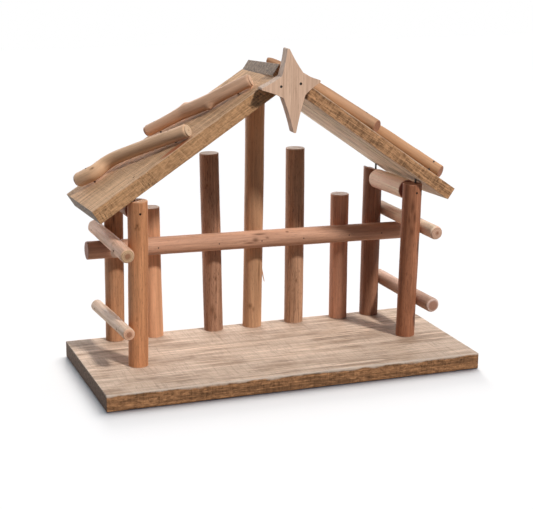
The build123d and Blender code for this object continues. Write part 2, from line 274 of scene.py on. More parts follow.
# %% Saw marks across the wood
group, given, made = start_group(
    "Saw marks", {"Place": "Vector"}, ("Line", "Band", "Tick", "Crack", "Mottle", "Patch")
)
wide = cloud(group, given["Place"], (7, 7, 130), 2, 0.55, 0.1)
fine = cloud(group, given["Place"], (9, 9, 330), 2, 0.6)
tick = cloud(group, given["Place"], (150, 150, 620), 4, 0.7, 0.4)
crack = cloud(group, given["Place"], (55, 55, 75), 4, 0.6, 0.5)
mottle = cloud(group, given["Place"], (330, 330, 150), 4, 0.65, 0.6)
patch = span(group, cloud(group, given["Place"], (30, 30, 22), 3, 0.55), 0.4, 0.6)
cluster = span(group, patch, 0.45, 0.85)
lines = maths(group, "MULTIPLY", thin_lines(group, fine, 0.045), 0.5)
lines = maths(group, "ADD", thin_lines(group, wide, 0.02), lines)
end_group(
    group, made,
    Line=maths(group, "MULTIPLY", lines, span(group, patch, 0, 1, 0.25, 1)),
    Band=span(group, fine, 0.4, 0.65),
    Tick=maths(group, "MULTIPLY", span(group, tick, 0.57, 0.64), cluster),
    Crack=maths(group, "MULTIPLY", thin_lines(group, crack, 0.012), cluster),
    Mottle=span(group, mottle, 0.36, 0.64),
    Patch=patch,
)
saw_group = group

# %% Rings on cut ends
RING_WOBBLE = 0.0016
HEART_BLUR = 0.001
group, given, made = start_group(
    "End rings", {"Place": "Vector", "Pith": "Vector", "Rings": "Float", "Heart": "Float"},
    ("Ring", "Check", "Heart")
)
from_pith = place_node(group, "VectorMath", {0: given["Place"], 1: given["Pith"]}, operation="SUBTRACT")
flat = stretched(group, from_pith.outputs[0], (1, 1, 0))
distance = place_node(group, "VectorMath", {0: flat}, operation="LENGTH").outputs["Value"]
blur = cloud(group, flat, (260, 260, 1), 2, 0.5)
wobbly = maths(group, "MULTIPLY_ADD", blur, RING_WOBBLE, distance, hold=False)
wave = maths(group, "MULTIPLY", wobbly, given["Rings"], hold=False)
wave = maths(group, "SINE", wave, hold=False)
ray = place_node(group, "VectorMath", {0: flat}, operation="NORMALIZE").outputs[0]
check = cloud(group, ray, (7, 7, 1), 2, 0.6)
inside = maths(group, "SUBTRACT", given["Heart"], wobbly, hold=False)
end_group(
    group, made,
    Ring=span(group, wave, -1, 1),
    Check=span(group, check, 0.62, 0.7),
    Heart=span(group, inside, -HEART_BLUR, HEART_BLUR),
)
ring_group = group

# %% Worn arrises
group, given, made = start_group("Worn arris", {"Place": "Vector", "Worn": "Float"}, ("Wear",))
chips = cloud(group, given["Place"], (330, 330, 110), 4, 0.65)
wear = maths(group, "MULTIPLY_ADD", chips, 1.1, given["Worn"], hold=False)
end_group(group, made, Wear=span(group, wear, 0.85, 1.4))
wear_group = group

# %% [markdown]
# ## The stick finish
# The posts, pickets and rails are peeled round sticks. Their sides show fibres from pale to deep brown with
# thin dark flecks, dark knots where twigs grew, and their sawn ends show rings round a dark heart. One
# function makes a finish from the mean colour of a stick, because the sticks differ in colour far more than
# in kind.

# %% Make a stick finish
WOOD_SHINE = 0.22


def start_finish(name):
    """A new material with its tree and its shader, and the specular level of bare wood."""
    material = bpy.data.materials.new(name)
    material.use_nodes = True
    tree = material.node_tree
    shader = tree.nodes["Principled BSDF"]
    shader.inputs["Specular IOR Level"].default_value = WOOD_SHINE
    return material, tree, shader


def finish_surface(tree, shader, colour, roughness, height, depth):
    """Link a colour, a roughness and a relief of a given depth to the shader."""
    bump = place_node(tree, "Bump", {"Strength": 1, "Distance": depth, "Height": height})
    tree.links.new(colour, shader.inputs["Base Color"])
    tree.links.new(roughness, shader.inputs["Roughness"])
    tree.links.new(bump.outputs["Normal"], shader.inputs["Normal"])


HEART_BROWN = tint(146, 94, 66)
STICK_RINGS, STICK_RELIEF = 4200.0, 0.25 * MM


def stick_finish(name, wood, sawn, streaks, flecks, heart):
    """Bare round wood: pale and deep fibres, dark flecks and knots, and rings round a heart on its ends."""
    material, tree, shader = start_finish(name)
    pale, deep, dark = shade(wood, 1.42, -0.02), shade(wood, 0.72, 0.05), shade(wood, 0.2, 0.1)
    place = read(tree, "wood", vector=True)
    knot = read(tree, "knot")
    fibre = use_group(tree, fibre_group, Place=place)
    rings = use_group(tree, ring_group, Place=place, Rings=STICK_RINGS, Heart=heart)
    wear = use_group(tree, wear_group, Place=place, Worn=read(tree, "worn"))
    colour = layered(
        tree, mixed(tree, fibre["Figure"], pale, shade(wood, 0.86, 0.02)),
        (fibre["Streak"], streaks, deep),
        (fibre["Growth"], 0.35 * streaks, deep),
        (fibre["Fleck"], flecks, dark),
        (fibre["Pore"], flecks, dark),
    )
    colour = mixed(tree, span(tree, knot, 0.05, 0.5, 0, 0.7), colour, shade(wood, 0.5, 0.12))
    colour = mixed(tree, span(tree, knot, 0.5, 0.95, 0, 0.9), colour, dark)
    face = mixed(tree, rings["Ring"], shade(sawn, 1.15), shade(sawn, 0.8))
    face = layered(tree, face, (rings["Check"], 0.4, dark), (rings["Heart"], 0.8, HEART_BROWN))
    colour = mixed(tree, read(tree, "end"), colour, face)
    colour = layered(tree, colour, (wear["Wear"], 0.5, shade(sawn, 1.3)))
    relief = carved(tree, (fibre["Fleck"], 0.5), (fibre["Streak"], 0.3))
    roughness = span(tree, fibre["Streak"], 0, 1, 0.55, 0.75)
    finish_surface(tree, shader, colour, roughness, relief, STICK_RELIEF)
    return material


# %% [markdown]
# ## Colours of the sticks
# Every stick has its own colour in the photograph, from golden posts to pinkish rails and pale peeled
# branches. The table gives the mean colour of its sides and of its sawn ends, how strong its streaks and
# flecks are, and the radius of the dark heart on its ends.

# %% Make the finishes of the sticks
stick_colours = {
    "front_left_post": ((201, 138, 95), (206, 160, 124), 0.5, 0.45, 0),
    "front_right_post": ((164, 107, 76), (178, 128, 100), 0.85, 0.6, 0),
    "rear_left_post": ((179, 130, 94), (190, 150, 120), 0.65, 0.55, 0),
    "rear_right_post": ((141, 97, 73), (160, 120, 98), 0.6, 0.5, 0),
    "short_left_picket": ((209, 153, 115), (214, 180, 152), 0.3, 0.2, 0),
    "tall_left_picket": ((175, 130, 102), (206, 180, 158), 1, 0.9, 0),
    "centre_picket": ((193, 146, 109), (200, 160, 130), 0.45, 0.35, 0),
    "tall_right_picket": ((182, 138, 107), (206, 180, 158), 0.8, 0.7, 0),
    "short_right_picket": ((193, 137, 107), (206, 176, 156), 0.5, 0.35, 0),
    "back_rail": ((189, 142, 114), (140, 96, 76), 0.45, 0.3, 0),
    "left_bearer": ((172, 136, 115), (138, 94, 76), 0.4, 0.3, 0),
    "right_bearer": ((255, 202, 175), (160, 104, 84), 0.4, 0.3, 0),
    "upper_left_rail": ((211, 169, 140), (205, 166, 128), 0.3, 0.3, 4 * MM),
    "lower_left_rail": ((206, 175, 148), (220, 170, 138), 0.3, 0.25, 4 * MM),
    "upper_right_rail": ((252, 204, 174), (210, 166, 138), 0.4, 0.3, 2.6 * MM),
    "lower_right_rail": ((193, 156, 133), (215, 185, 170), 0.4, 0.3, 6.4 * MM),
    "lower_left_roof_stick": ((208, 166, 129), (214, 180, 146), 0.2, 0.12, 1.5 * MM),
    "upper_left_roof_stick": ((208, 165, 133), (222, 182, 150), 0.2, 0.12, 1.5 * MM),
    "upper_right_roof_stick": ((181, 137, 103), (170, 115, 85), 0.15, 0.08, 0),
    "lower_right_roof_stick": ((178, 132, 95), (170, 115, 85), 0.15, 0.08, 0),
}
stick_finishes = {
    node: stick_finish(node.replace("_", " "), tint(*wood), tint(*sawn), streaks, flecks, heart)
    for node, (wood, sawn, streaks, flecks, heart) in stick_colours.items()
}
print("stick finishes:", len(stick_finishes))

# %% [markdown]
# ## Growing a stick
# A peeled branch is round only at first sight: it swells and thins, bows a little, and carries the marks of
# twigs. A plain cylinder has none of that, and sculpting can't be repeated. So a stick is grown as rings
# along a route whose points also hold a radius. Smooth noise moves the rings, the rims are rounded, and marks
# raise or sink the skin, darken it and push the grain aside. The mesh carries the places that the finish
# reads.

# %% Follow a route
CORNER_ROUNDS = 3


def rounded_route(route):
    """Cut the corners of a route again and again until it bends smoothly, and keep its two ends."""
    for _ in range(CORNER_ROUNDS):
        cut = [route[0]]
        for first, second in zip(route, route[1:]):
            cut += [first.lerp(second, 0.25), first.lerp(second, 0.75)]
        route = cut + [route[-1]]
    return route


def route_length(route):
    """The length of a route of points that hold a place and a radius."""
    return sum((second - first).xyz.length for first, second in zip(route, route[1:]))


def along_route(route, place):
    """The point, the direction and the radius of a route at a distance from its start."""
    for first, second in zip(route, route[1:]):
        reach = (second - first).xyz.length
        if place <= reach or second is route[-1]:
            spot = first.lerp(second, place / reach)
            return spot.xyz, (second - first).xyz.normalized(), spot.w
        place -= reach


RING_STEP = 1.6 * MM
RIM_SHARES = (0, 0.12, 0.35, 0.65, 1)


def ring_places(length, rim):
    """Distances of the rings of a stick: close together at the rims, and even between them."""
    count = max(2, round((length - 2 * rim) / RING_STEP))
    near = [share * rim for share in RIM_SHARES]
    even = [rim + (length - 2 * rim) * step / count for step in range(1, count)]
    return near + even + [length - place for place in reversed(near)]


print("rings on a 170 mm post:", len(ring_places(170 * MM, 0.7 * MM)))

# %% Make a mesh that carries values
def carrying_mesh(name, vertices, faces, layers):
    """A mesh with named values of its vertices, for the finishes to read."""
    mesh = bpy.data.meshes.new(name)
    mesh.from_pydata(vertices, [], faces)
    corners = np.empty(len(mesh.loops), dtype=np.int32)
    mesh.loops.foreach_get("vertex_index", corners)
    for title, values in layers.items():
        values = np.array(values, dtype=np.float32)
        kind, field = ("FLOAT_VECTOR", "vector") if values.ndim == 2 else ("FLOAT", "value")
        layer = mesh.attributes.new(title, kind, "CORNER")
        layer.data.foreach_set(field, values[corners].ravel())
    return mesh


# %% Grow a stick along a route
RING_SIDES = 64
CAP_SHARES = (0.85, 0.6, 0.3)
STICK_GAP = 20.0
SLOW_LUMP, QUICK_LUMP = 55 * MM, 13 * MM
CUT_LUMP, CUT_ROUGHNESS = 2 * MM, 0.12 * MM
RAGGED_REACH, SLANT_REACH, WORN_REACH = 4 * MM, 14 * MM, 0.9 * MM


def stick_mesh(name, route, facing, seed, rim, wobble, bow=0.0, dome=0.0, ragged=0.0, marks=(), cut=None):
    """The closed mesh of a stick. Angles round it start at its facing side. A mark is a share of the length,
    an angle, half a width, half a length and a height in millimetres, and a darkness. A slanted cut of its
    far end is a slope and the angle of the side that it leaves shortest."""
    slope, short_side = cut or (0, 0)
    length = route_length(route)
    angles = [math.tau * step / RING_SIDES for step in range(RING_SIDES)]
    side = facing.normalized()
    bow_way = Quaternion(along_route(route, 0)[1], seed) @ side
    marks = [(share, turn, *(size * MM for size in sizes), depth) for share, turn, *sizes, depth in marks]
    vertices, layers = [], {key: [] for key in ("wood", "end", "worn", "knot")}

    def skin(place, angle, radius):
        """The radius, the darkness and the shifted angle of the grain at a spot on the skin."""
        round_way = Vector((math.cos(angle), math.sin(angle), 0))
        slow = noise.noise(round_way * 0.8 + Vector((seed, 0, place / SLOW_LUMP)))
        quick = noise.noise(round_way * 2.4 + Vector((seed, 5, place / QUICK_LUMP)))
        radius += wobble * (slow + 0.35 * quick)
        dark, shift = 0, 0
        for share, turn, half_width, half_length, height, depth in marks:
            away = math.remainder(angle - turn, math.tau)
            reach = ((place - share * length) / half_length) ** 2 + (away * radius / half_width) ** 2
            spread = math.exp(-reach)
            radius += height * spread
            dark = max(dark, depth * spread)
            shift += 0.6 * away * spread
        return radius, dark, angle - shift

    def add_ring(place, share, edge, end):
        nonlocal side
        point, way, radius = along_route(route, min(max(place, 0), length))
        side = (side - way * side.dot(way)).normalized()
        other = way.cross(side)
        point = point + bow_way * (bow * math.sin(math.pi * place / length))
        outward = 1 if place > length / 2 else -1
        tearing = ragged * max(0, 1 - (length - place) / RAGGED_REACH)
        slanting = max(0, 1 - (length - place) / SLANT_REACH)
        worn = share ** 8 if end else math.exp(-(min(place, length - place) / WORN_REACH) ** 2)
        for angle in angles:
            full, dark, grain = skin(place, angle, radius)
            reach = full * share - edge
            out = side * math.cos(angle) + other * math.sin(angle)
            rough = noise.noise(Vector((reach / CUT_LUMP, angle, seed))) * CUT_ROUGHNESS * end
            tooth = noise.noise(Vector((3 * math.cos(angle), 3 * math.sin(angle), seed)))
            lift = (dome * (1 - share ** 2) * end + rough) * outward
            lift -= tearing * (0.5 + 0.5 * tooth)
            lift -= slope * reach * math.cos(angle - short_side) * slanting
            vertices.append(point + out * reach + way * lift)
            across = (reach * math.cos(grain), reach * math.sin(grain))
            layers["wood"].append((*across, place + seed * STICK_GAP))
            layers["end"].append(end)
            layers["worn"].append(worn)
            layers["knot"].append(dark)

    for share in reversed(CAP_SHARES):
        add_ring(0, share, 0, 1)
    for place in ring_places(length, rim):
        near = min(place, length - place, rim)
        add_ring(place, 1, rim - math.sqrt(rim ** 2 - (rim - near) ** 2), 1 if near == 0 else 0)
    for share in CAP_SHARES:
        add_ring(length, share, 0, 1)
    last = len(vertices) - RING_SIDES
    faces = []
    for low, step in itertools.product(range(0, last, RING_SIDES), range(RING_SIDES)):
        high, after = low + RING_SIDES, (step + 1) % RING_SIDES
        faces.append((low + step, low + after, high + after, high + step))
    faces.append(tuple(reversed(range(RING_SIDES))))
    faces.append(tuple(range(last, last + RING_SIDES)))
    return carrying_mesh(name, vertices, faces, layers)


# %% Settle a piece on the stable
def added(name, data):
    """A new object in the scene."""
    thing = bpy.data.objects.new(name, data)
    bpy.context.scene.collection.objects.link(thing)
    return thing


def settle(name, mesh, finish, node=None):
    """Make a smooth, finished piece that rides on the stable and stands for its CAD node, if any."""
    mesh.polygons.foreach_set("use_smooth", [True] * len(mesh.polygons))
    mesh.materials.append(finish)
    piece = added(name, mesh)
    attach(piece, "root")
    if node:
        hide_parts(node)
    return piece


pieces = {}

# %% [markdown]
# ## Posts, pickets and rails
# All of these are straight, so their lines come from the frame. The table gives each its kind, how uneven it
# is in millimetres and its marks, which follow the photograph: knots, cracks and small dark specks on the
# posts and pickets, a split on the back rail and the stub of a twig under the upper left rail. Angles start
# at the front of uprights and of the back rail, and at the top of the others. The front ends of the side
# rails and the left end of the back rail stop short of their solids, and the rear right post was cut off
# askew.

# %% Make the straight sticks
FRONT, UP = Vector((0, -1, 0)), Vector((0, 0, 1))
SAWN, ROUNDED, DOME = 0.6 * MM, 2.2 * MM, 0.8 * MM
THIN_SKIN, THICK_SKIN = 0.1 * MM, 0.4 * MM
RAIL_TRIM = 1.6 * MM
STICK_BOW = 0.3 * MM
STRAIGHT_SEED = 1.3
slanted = {"rear_right_post": (0.28, math.pi / 2)}
ragged = {"rear_right_post": 1.4 * MM}
thick_sticks = ("tall_left_picket", "centre_picket", "tall_right_picket", "rear_right_post", "right_bearer")
kinds = {
    "upright": ("round_stick", FRONT, SAWN, 0),
    "log": ("round_stick", UP, SAWN, 0),
    "rail": ("pale_stick", UP, ROUNDED, DOME),
}
straight_sticks = {
    "front_left_post": ("upright", 0.25, (
        (0.862, -0.3, 1.3, 2, 0, 1), (0.845, -0.45, 1.1, 1.6, 0, 0.9), (0.842, -0.15, 1.1, 1.6, 0, 0.8),
        (0.3, -0.4, 1.2, 2.4, 0, 0.5))),
    "front_right_post": ("upright", 0.3, (
        (0.86, -0.3, 2.2, 7, 0.3, 0.75), (0.79, -0.05, 1.6, 7, 0, 0.8), (0.77, -0.6, 1.4, 5, 0, 0.7),
        (0.7, -0.25, 2, 5, 0.2, 0.7), (0.6, 1.2, 1.5, 8, -0.6, 0.9), (0.2, 0, 1.3, 8, 0, 0.5))),
    "rear_left_post": ("upright", 0.25, ((0.8, -0.26, 1.1, 6, -0.3, 1),)),
    "rear_right_post": ("upright", 0.3, ()),
    "short_left_picket": ("upright", 0.25, ()),
    "tall_left_picket": ("upright", 0.25, (
        (0.306, 0.04, 1.2, 2.6, -0.3, 1), (0.25, 0.1, 1.1, 5, 0, 0.7), (0.126, -0.35, 2.4, 6, 0.2, 0.7),
        (0.09, -0.1, 1.2, 6, 0, 0.8), (0.83, -0.6, 1.2, 1.6, -0.2, 1))),
    "centre_picket": ("upright", 0.25, (
        (0.095, -0.56, 2.4, 3, 0.4, 0.75), (0.08, -0.2, 1.2, 3, 0, 0.6), (0.24, 0.35, 1.2, 14, -0.25, 0.8))),
    "tall_right_picket": ("upright", 0.25, (
        (0.252, -0.12, 1.1, 2.4, -0.4, 1), (0.2, -0.3, 1, 3, 0, 0.5))),
    "short_right_picket": ("upright", 0.25, ()),
    "back_rail": ("upright", 0.25, (
        (0.498, -0.15, 2.6, 3.5, 0.3, 0.8), (0.512, -0.8, 1.1, 7, -0.3, 1), (0.48, 0.15, 1.1, 6, 0, 0.8),
        (0.535, -0.3, 1.1, 1.6, -0.2, 0.9), (0.6, -0.9, 1.1, 1.5, -0.2, 1))),
    "left_bearer": ("log", 0.25, ()),
    "right_bearer": ("log", 0.3, ()),
    "upper_left_rail": ("rail", 0.5, ((0.23, -2.3, 4.5, 4, 3.4, 0.3), (0.27, -1, 4, 4, 0.5, 0.35))),
    "lower_left_rail": ("rail", 0.4, ((0.14, -0.9, 2, 2, 0, 0.3), (0.2, -1.4, 1.2, 1.6, 0, 0.5))),
    "upper_right_rail": ("rail", 0.3, ()),
    "lower_right_rail": ("rail", 0.3, ()),
}
for seed, (node, (kind, wobble, marks)) in enumerate(straight_sticks.items()):
    slot, facing, rim, dome = kinds[kind]
    start, end, stick_radius = stick_line(node)
    skin = THICK_SKIN if node in thick_sticks else THIN_SKIN
    if node.endswith("_rail"):
        start = start + (end - start).normalized() * RAIL_TRIM
    route = [Vector((*point, stick_radius + skin)) for point in (start, end)]
    mesh = stick_mesh(node, route, facing, seed + STRAIGHT_SEED, rim, wobble * MM, STICK_BOW, dome,
                      ragged.get(node, 0), marks, slanted.get(node))
    pieces[node] = settle("wood_" + node, mesh, stick_finishes[node], node)
    print(node, "radius", round(stick_radius / MM, 2), "faces", len(mesh.polygons))

# %% [markdown]
# ## A splinter
# A thin splinter has lifted from the centre picket, and hangs from its right side below the back rail. It is
# grown like a stick, along a route that leaves the skin of the picket and ends in a point.

# %% Grow the splinter
SPLINTER = ((0.245, 0.1, 0.5), (0.229, 0.8, 0.6), (0.211, 1.7, 0.55), (0.19, 3, 0.35))
SPLINTER_TURN = 1.15
SPLINTER_SEED = 51.2
SPLINTER_RIM, SPLINTER_WOBBLE = 0.05 * MM, 0.05 * MM
foot, top, stick_radius = stick_line("centre_picket")
out = Vector((math.sin(SPLINTER_TURN), -math.cos(SPLINTER_TURN), 0))
route = [
    Vector((*(foot.lerp(top, share) + out * (stick_radius + away * MM)), thick * MM))
    for share, away, thick in SPLINTER
]
mesh = stick_mesh("splinter", rounded_route(route), FRONT, SPLINTER_SEED, SPLINTER_RIM, SPLINTER_WOBBLE)
pieces["splinter"] = settle("wood_splinter", mesh, stick_finishes["upper_right_roof_stick"])
print("splinter faces", len(mesh.polygons))

# %% [markdown]
# ## Roof sticks
# The four sticks on the roof are crooked branches on the planks. Their routes are shares of the plank's top,
# from its left end and from its front, as in the CAD model, each with a gap under the stick and a radius in
# millimetres. The left sticks touch the plank at their knees and ends and bow off it between, and they thin
# out along their length. The right sticks were sawn off slantwise, so their lower ends face the viewer.

# %% Make the roof sticks
RIDGE_LIP = 2 * MM
BLUNT = 3 * MM
ROOF_SEED = 31.7
planks = {node: plank_corners(node) for node in ("left_roof_plank", "right_roof_plank")}
roof_sides = {
    "left_roof_plank": (0, BLUNT, DOME, 0.35 * MM, None),
    "right_roof_plank": (RIDGE_LIP, SAWN, 0, 0.25 * MM, (0.5, 1.35)),
}
roof_sticks = {
    "lower_left_roof_stick": (
        "left_roof_plank",
        ((0.059, 0.835, 0, 7.6), (0.101, 0.75, 0, 7.8), (0.138, 0.705, 0, 7.7), (0.184, 0.755, 0, 7.3),
         (0.234, 0.725, 1, 6.9), (0.286, 0.615, 1.7, 6.7), (0.363, 0.446, 1.8, 6.6), (0.438, 0.29, 1.2, 6.8),
         (0.504, 0.145, 0.6, 6.9), (0.549, 0.06, 0.2, 6.9)),
        ((0.12, -0.6, 6, 6, 0.5, 0), (0.15, 0.6, 1.2, 1.4, -0.3, 1))),
    "upper_left_roof_stick": (
        "left_roof_plank",
        ((0.445, 0.845, 0.2, 6.2), (0.492, 0.772, 0.8, 6), (0.541, 0.7, 1.2, 6), (0.588, 0.64, 1.2, 6.3),
         (0.624, 0.598, 0.6, 7), (0.667, 0.505, 0.2, 7.3), (0.715, 0.42, 0.4, 7.2), (0.788, 0.328, 1.1, 6.8),
         (0.856, 0.25, 1, 6.7), (0.917, 0.182, 0.4, 6.7)),
        ((0.4, -0.5, 5, 4, 1.5, 0), (0.61, 2.1, 4.5, 4, 2.8, 0.15))),
    "upper_right_roof_stick": (
        "right_roof_plank",
        ((0.036, 0.614, 0.6, 2.2), (0.044, 0.605, 0.1, 3.4), (0.07, 0.574, 0, 4.4), (0.14, 0.493, 0, 5.8),
         (0.25, 0.364, 0.1, 6.5), (0.533, 0.032, 0.1, 6.5)), ()),
    "lower_right_roof_stick": (
        "right_roof_plank",
        ((0.51, 0.42, 0.1, 6.2), (0.575, 0.331, 0.1, 6.4), (0.63, 0.26, 0.1, 6.7), (0.75, 0.158, 0.1, 6.5),
         (0.913, 0.022, 0.1, 6.6)),
        ((0.2, -0.4, 4, 4, 0.7, 0), (0.7, -0.4, 4, 4, 0.4, 0))),
}
for seed, (node, (plank, shares, marks)) in enumerate(roof_sticks.items()):
    lip, rim, dome, wobble, cut = roof_sides[plank]
    way, back, up = plank_axes(plank)
    corner, right, rear = [planks[plank][place] for place in ((0, 0, 1), (1, 0, 1), (0, 1, 1))]
    depth = (rear - corner).dot(back)
    route = []
    for along, across, gap, stick_radius in shares:
        point = corner + way * (lip + along * ((right - corner).length - lip)) + back * (across * depth)
        route.append(Vector((*(point + up * ((gap + stick_radius) * MM)), stick_radius * MM)))
    mesh = stick_mesh(node, rounded_route(route), up, seed + ROOF_SEED, rim, wobble, 0, dome, 0, marks, cut)
    pieces[node] = settle("wood_" + node, mesh, stick_finishes[node], node)
    print(node, "faces", len(mesh.polygons))

# %% [markdown]
# ## The board finish
# The base and the roof are rough-sawn boards. Their broad faces show grain along the board and thin saw lines
# across it, their long edges are darker with wavy grain and black ticks, their ends are grey, and their upper
# arrises are worn pale. The function takes the mean colour of each kind of face and of the worn wood, and how
# strong each mark is, and the mesh says which kind of face each point belongs to.

# %% Make a board finish
STAIN_RED = tint(160, 84, 44)
BOARD_PITH, BOARD_RINGS, BOARD_RELIEF = (0.03, -0.055, 0), 2600.0, 0.4 * MM


def board_finish(name, face, edge, end, worn, lines, comb, bands, ticks, growth, wash, rough):
    """Rough-sawn wood: grain and saw marks on the faces, ticks on the edges, grey ends and worn arrises."""
    material, tree, shader = start_finish(name)
    dark = shade(edge, 0.14, 0.06)
    place = read(tree, "wood", vector=True)
    fibre = use_group(tree, fibre_group, Place=place)
    saw = use_group(tree, saw_group, Place=place)
    rings = use_group(tree, ring_group, Place=place, Pith=BOARD_PITH, Rings=BOARD_RINGS)
    wear = use_group(tree, wear_group, Place=place, Worn=read(tree, "worn"))
    broad = layered(
        tree, mixed(tree, fibre["Figure"], shade(face, 1.8, -0.02), shade(face, 0.7, 0.08)),
        (fibre["Streak"], 0.7, shade(face, 0.6, 0.1)),
        (fibre["Growth"], growth, shade(face, 0.36, 0.12)),
        (saw["Band"], comb, shade(face, 1.5, -0.02)),
        (saw["Patch"], wash, shade(face, 1.4, -0.04)),
        (saw["Line"], lines, shade(face, 0.5, 0.07)),
        (fibre["Pore"], 0.45, shade(face, 0.3, 0.08)),
        (read(tree, "knot"), 1, STAIN_RED),
    )
    narrow = layered(
        tree, mixed(tree, saw["Mottle"], shade(edge, 1 + rough, -0.02), shade(edge, 1 - 0.45 * rough, 0.07)),
        (fibre["Streak"], 0.55, shade(edge, 0.55, 0.06)),
        (fibre["Growth"], growth * rough, shade(edge, 0.3, 0.06)),
        (saw["Band"], bands, shade(edge, 1.6, -0.02)),
        (fibre["Pore"], 0.5, dark),
        (saw["Tick"], ticks, dark),
        (saw["Crack"], ticks * 0.7, dark),
    )
    sawn = layered(
        tree, mixed(tree, saw["Mottle"], shade(end, 1.75), shade(end, 0.5)),
        (rings["Ring"], 0.25, shade(end, 0.75)),
        (fibre["Pore"], 0.5, shade(end, 0.35)),
    )
    colour = mixed(tree, read(tree, "edge"), broad, narrow)
    colour = mixed(tree, read(tree, "end"), colour, sawn)
    colour = layered(tree, colour, (wear["Wear"], 0.75, worn))
    relief = carved(tree, (saw["Line"], 0.5), (fibre["Streak"], 0.15), (fibre["Pore"], 0.2))
    roughness = span(tree, fibre["Streak"], 0, 1, 0.7, 0.88)
    finish_surface(tree, shader, colour, roughness, relief, BOARD_RELIEF)
    return material


board_colours = {
    "base_board": (((191, 166, 144), (147, 104, 69), (91, 71, 56), (212, 194, 176)),
                   (0.38, 0.08, 0.3, 0.6, 0.8, 0.5, 1.1)),
    "left_roof_plank": (((195, 155, 117), (190, 144, 102), (118, 102, 88), (214, 178, 146)),
                        (0.2, 0.3, 0.3, 1, 0.8, 0.3, 0.5)),
    "right_roof_plank": (((214, 186, 159), (177, 131, 92), (138, 117, 98), (214, 184, 156)),
                         (0.1, 0.1, 0.4, 0.7, 1, 0.6, 0.95)),
}
board_finishes = {
    node: board_finish(node.replace("_", " "), *(tint(*colour) for colour in colours), *strengths)
    for node, (colours, strengths) in board_colours.items()
}
print("board finishes:", len(board_finishes))

# %% [markdown]
# ## Sawing a board
# A sawn board is flat, but its arrises are broken unevenly and its faces dip a little. The board is a grid
# over the six faces of its CAD solid, laid out in its own lengths. Points near an arris are drawn onto a
# round whose radius wanders, and the faces sink by a fraction of a millimetre, so the solid's size is never
# passed.

# %% Saw a board along its corners
EDGE_ROWS = (0, 0.4 * MM, 1 * MM, 1.8 * MM, 3 * MM)
SIDE_WEAR = 0.45
WEAR_LUMP, ARRIS_LUMP = 14 * MM, 9 * MM


def rows(size, cell):
    """Places of grid rows across a size: close together at both arrises, and even between them."""
    count = max(2, round((size - 2 * EDGE_ROWS[-1]) / cell))
    even = [EDGE_ROWS[-1] + (size - 2 * EDGE_ROWS[-1]) * step / count for step in range(1, count)]
    return list(EDGE_ROWS) + even + [size - place for place in reversed(EDGE_ROWS)]


def board_mesh(name, corners, cell, arris, dip, seed, wear_reach, under_wear, stains):
    """The closed mesh of a sawn board. A stain lies on its top, at shares of the length and the depth, with
    two half sizes."""
    size = [(corners[far] - corners[0, 0, 0]).length for far in ((1, 0, 0), (0, 1, 0), (0, 0, 1))]
    grid = [rows(size[axis], cell) for axis in range(3)]
    last = [len(places) - 1 for places in grid]
    numbers, vertices, layers = {}, [], {key: [] for key in ("wood", "end", "edge", "worn", "knot")}

    def worn_at(place):
        """How worn a spot is: most on the front upper arris, less on the others above, and least below."""
        chips = noise.noise(Vector((place.x / WEAR_LUMP, place.y / WEAR_LUMP, seed)))
        wander = wear_reach * (0.75 + 0.6 * chips)
        front = math.hypot(place.y, size[2] - place.z)
        sides = math.hypot(min(place.x, size[0] - place.x, size[1] - place.y), size[2] - place.z)
        under = math.hypot(place.y, place.z)
        levels = [(front, 1), (sides, SIDE_WEAR), (under, under_wear)]
        return max(level * math.exp(-(gap / wander) ** 2) for gap, level in levels)

    def stain_at(place):
        """How strong a stain is at a spot of the top."""
        strength = 0
        for along, across, half_length, half_depth in stains:
            reach = ((place.x - along * size[0]) / half_length) ** 2
            reach += ((place.y - across * size[1]) / half_depth) ** 2
            strength = max(strength, min(0.85, max(0, 1.3 - 1.1 * reach)))
        return strength

    def vertex(index):
        if index in numbers:
            return numbers[index]
        numbers[index] = len(vertices)
        place = Vector([grid[axis][index[axis]] for axis in range(3)])
        spot = place / ARRIS_LUMP + Vector((seed, seed, seed))
        wander = 0.5 + 0.5 * noise.noise(spot * 0.45) + 0.35 * noise.noise(spot * 1.7)
        rounding = arris * max(0.25, 0.4 + 1.3 * wander)
        core = Vector([min(max(place[axis], rounding), size[axis] - rounding) for axis in range(3)])
        out = place - core
        moved = core + out.normalized() * rounding if out.length > 0 else place.copy()
        outer = [index[axis] in (0, last[axis]) for axis in range(3)]
        sink = dip * (0.5 + 0.5 * noise.noise(spot * 0.3))
        for axis in range(3):
            if outer[axis]:
                moved[axis] += sink if index[axis] == 0 else -sink
        vertices.append(between(corners, *[moved[axis] / size[axis] for axis in range(3)]))
        layers["wood"].append((place.y, place.z, place.x + seed * STICK_GAP))
        layers["end"].append(outer[0])
        layers["edge"].append(outer[1] and not outer[0])
        layers["worn"].append(worn_at(place))
        layers["knot"].append(stain_at(place) if index[2] == last[2] else 0)
        return numbers[index]

    faces = []
    for axis, side in itertools.product(range(3), (0, 1)):
        first, second = [other for other in range(3) if other != axis]
        for i, j in itertools.product(range(last[first]), range(last[second])):
            loop = []
            for step in ((0, 0), (1, 0), (1, 1), (0, 1)):
                index = [0, 0, 0]
                index[axis] = side * last[axis]
                index[first], index[second] = i + step[0], j + step[1]
                loop.append(vertex(tuple(index)))
            faces.append(loop if (side == 1) == (axis != 1) else loop[::-1])
    return carrying_mesh(name, vertices, faces, layers)


